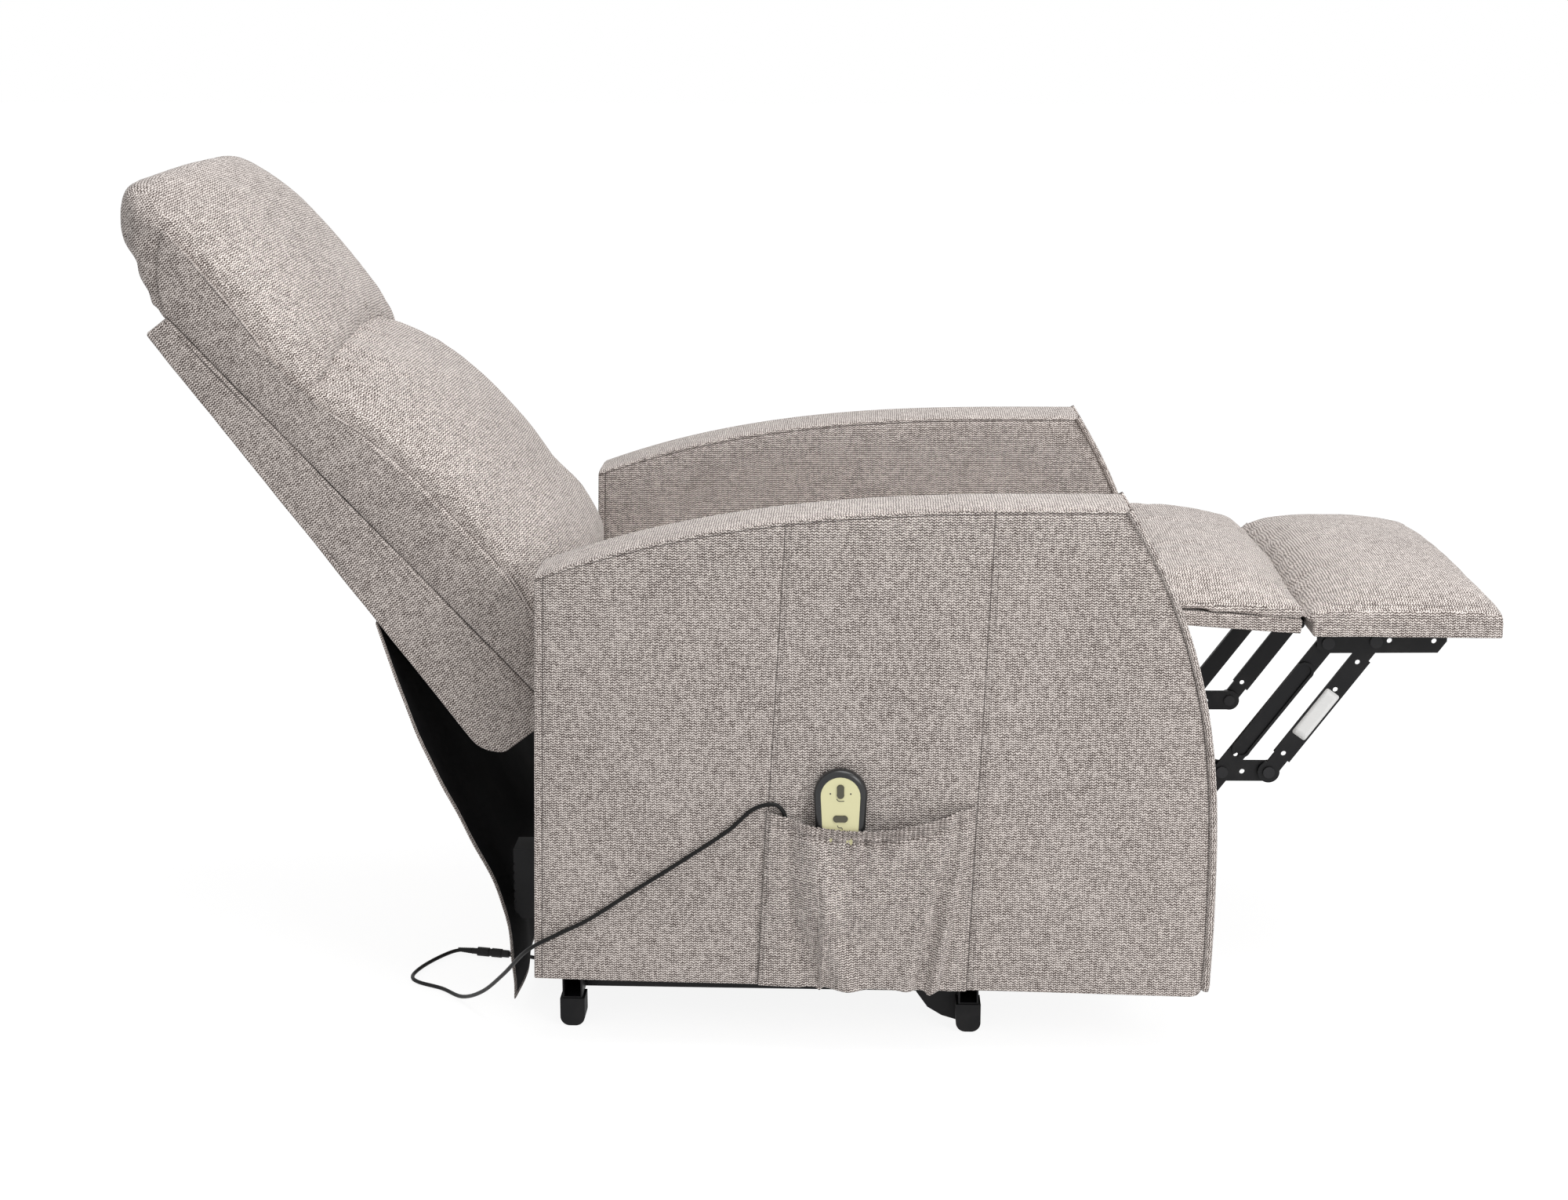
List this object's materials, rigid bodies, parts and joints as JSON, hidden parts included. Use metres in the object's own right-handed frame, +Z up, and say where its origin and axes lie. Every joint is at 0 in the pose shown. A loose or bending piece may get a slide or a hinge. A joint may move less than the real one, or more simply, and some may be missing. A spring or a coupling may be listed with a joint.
{
  "type": "lift recliner chair",
  "caption": "Powered lift recliner chair with padded arms, reclining back, folding footrest, lift linkage and a handset in a side pocket",
  "frame": {"origin": "on the floor under the centre of the bounding box of the reclined chair with its footrest out, leaving out the handset's cord and the leads", "axes": "+X the way the sitter faces, +Y to the sitter's left, +Z up"},
  "size_m": [1.6852, 0.7674, 1.0856],
  "materials": {
    "frame_steel": "satin black powder coat",
    "linkage_steel": "semi-gloss black paint",
    "rivets": "plain steel",
    "feet": "matt black glides",
    "motor_housing": "fine-grained black housing",
    "timber": "raw plywood and poplar",
    "spring_wire": "oil-tempered wire",
    "upholstery": "coarse warm grey basket weave",
    "piping": "the same weave, over a cord",
    "handset_shell": "polished black",
    "handset_face": "satin cream label plate",
    "buttons": "soft dark grey",
    "cable": "matt black sheath",
    "connector": "moulded black"
  },
  "bodies": {
    "base": {"base_cross_rear": "frame_steel", "base_cross_mid": "frame_steel", "base_outriggers": "frame_steel", "base_rails": "frame_steel", "base_feet": "feet", "base_pivot_plates": "frame_steel"},
    "lift_motor": {"lift_motor": "motor_housing"},
    "lift_rod": {"lift_rod": "rivets"},
    "lift_arm": {"lift_arm_right": "frame_steel", "lift_arm_left": "frame_steel", "lift_tube": "frame_steel"},
    "lift_link": {"lift_links": "frame_steel"},
    "chair": {"side_plate_right": "frame_steel", "side_plate_left": "frame_steel", "side_hangers": "frame_steel", "seat_cross_tubes": "frame_steel", "chair_pins": "rivets", "seat_rail_right": "timber", "seat_rail_left": "timber", "seat_end_rails": "timber", "seat_springs": "spring_wire", "seat_cushion": "upholstery", "arm_right": "upholstery", "arm_left": "upholstery", "piping_right": "piping", "piping_left": "piping", "pocket": "upholstery", "handset_shell": "handset_shell", "handset_face": "handset_face", "control_box": "motor_housing", "rear_flap": "upholstery", "handset_cord": "cable", "handset_plug": "connector", "motor_lead": "cable", "motor_socket": "connector"},
    "button_recline": {"button_recline": "buttons"},
    "button_lift": {"button_lift": "buttons"},
    "backrest": {"back_frame": "timber", "back_brackets": "frame_steel", "back_tube": "frame_steel", "back_cover": "upholstery", "lumbar_cushion": "upholstery", "head_cushion": "upholstery"},
    "back_motor": {"back_motor": "motor_housing"},
    "back_rod": {"back_rod": "rivets"},
    "crank_link": {"crank_link_right": "linkage_steel", "crank_link_left": "linkage_steel", "drive_tube": "linkage_steel", "link_pins": "rivets"},
    "rear_link": {"rear_link_right": "linkage_steel", "rear_link_left": "linkage_steel"},
    "front_link": {"front_link_right": "linkage_steel", "front_link_left": "linkage_steel"},
    "footrest": {"footrest_bracket_right": "linkage_steel", "footrest_bracket_left": "linkage_steel", "footrest_pins": "rivets", "footrest_board": "upholstery", "footrest_pad": "upholstery"},
    "mid_pad": {"mid_board": "upholstery", "mid_pad": "upholstery"}
  },
  "joints": [
    {"name": "lift", "type": "hinge", "parent": "base", "child": "lift_arm", "pos_m": [0.17, 0, 0.08], "axis": [0, 1, 0], "range_deg": [0, 54.2]},
    {"name": "chair_tilt", "type": "hinge", "parent": "lift_arm", "child": "chair", "pos_m": [-0.165, 0, 0.105], "axis": [0, 1, 0], "range_deg": [-28.26, 0]},
    {"name": "lift_link_swing", "type": "hinge", "parent": "base", "child": "lift_link", "pos_m": [0.2, 0, 0.086], "axis": [0, 1, 0], "range_deg": [0, 60.12]},
    {"name": "lift_motor_swing", "type": "hinge", "parent": "base", "child": "lift_motor", "pos_m": [-0.27, 0, 0.1], "axis": [0, 1, 0], "range_deg": [-0.38616, 0]},
    {"name": "lift_rod_slide", "type": "slide", "parent": "lift_motor", "child": "lift_rod", "axis": [0.9997, 0, 0.0238], "range_m": [0, 0.03285]},
    {"name": "recline", "type": "hinge", "parent": "chair", "child": "backrest", "pos_m": [-0.323, 0, 0.355], "axis": [0, 1, 0], "range_deg": [0, 26]},
    {"name": "back_motor_swing", "type": "hinge", "parent": "chair", "child": "back_motor", "pos_m": [0.066, 0, 0.28], "axis": [0, 1, 0], "range_deg": [0, 2.14]},
    {"name": "back_rod_slide", "type": "slide", "parent": "back_motor", "child": "back_rod", "axis": [-1, 0, 0], "range_m": [0, 0.03128]},
    {"name": "footrest_fold", "type": "hinge", "parent": "chair", "child": "crank_link", "pos_m": [0.2674, 0, 0.3509], "axis": [0, 1, 0], "range_deg": [0, 91.7]},
    {"name": "rear_link_swing", "type": "hinge", "parent": "crank_link", "child": "rear_link", "pos_m": [0.52251, 0, 0.29651], "axis": [0, 1, 0], "range_deg": [-91.08, 0]},
    {"name": "front_link_swing", "type": "hinge", "parent": "crank_link", "child": "front_link", "pos_m": [0.58252, 0, 0.29701], "axis": [0, 1, 0], "range_deg": [-90.38, 0]},
    {"name": "footrest_swing", "type": "hinge", "parent": "rear_link", "child": "footrest", "pos_m": [0.65, 0, 0.4705], "axis": [0, 1, 0], "range_deg": [0, 91.08]},
    {"name": "mid_pad_hinge", "type": "hinge", "parent": "footrest", "child": "mid_pad", "pos_m": [0.604, 0, 0.508], "axis": [0, 1, 0], "range_deg": [0, 0.63]},
    {"name": "press_recline", "type": "slide", "parent": "chair", "child": "button_recline", "axis": [0, 1, 0], "range_m": [0, 0.0012], "stiffness_N_per_m": 400, "springref_m": -0.0008},
    {"name": "press_lift", "type": "slide", "parent": "chair", "child": "button_lift", "axis": [0, 1, 0], "range_m": [0, 0.0012], "stiffness_N_per_m": 400, "springref_m": -0.0008}
  ],
  "couplings": [
    {"joint": "chair_tilt", "follows": "lift", "ratio": -0.52029},
    {"joint": "lift_link_swing", "follows": "lift", "ratio": 1.107},
    {"joint": "lift_motor_swing", "follows": "lift", "ratio": -0.006985},
    {"joint": "lift_rod_slide", "follows": "lift", "m_per_rad": 0.034592},
    {"joint": "back_motor_swing", "follows": "recline", "ratio": 0.081916},
    {"joint": "back_rod_slide", "follows": "recline", "m_per_rad": 0.068662},
    {"joint": "rear_link_swing", "follows": "footrest_fold", "ratio": -0.99128},
    {"joint": "front_link_swing", "follows": "footrest_fold", "ratio": -0.98364},
    {"joint": "footrest_swing", "follows": "footrest_fold", "ratio": 0.99128},
    {"joint": "mid_pad_hinge", "follows": "footrest_fold", "ratio": 0.006543}
  ]
}
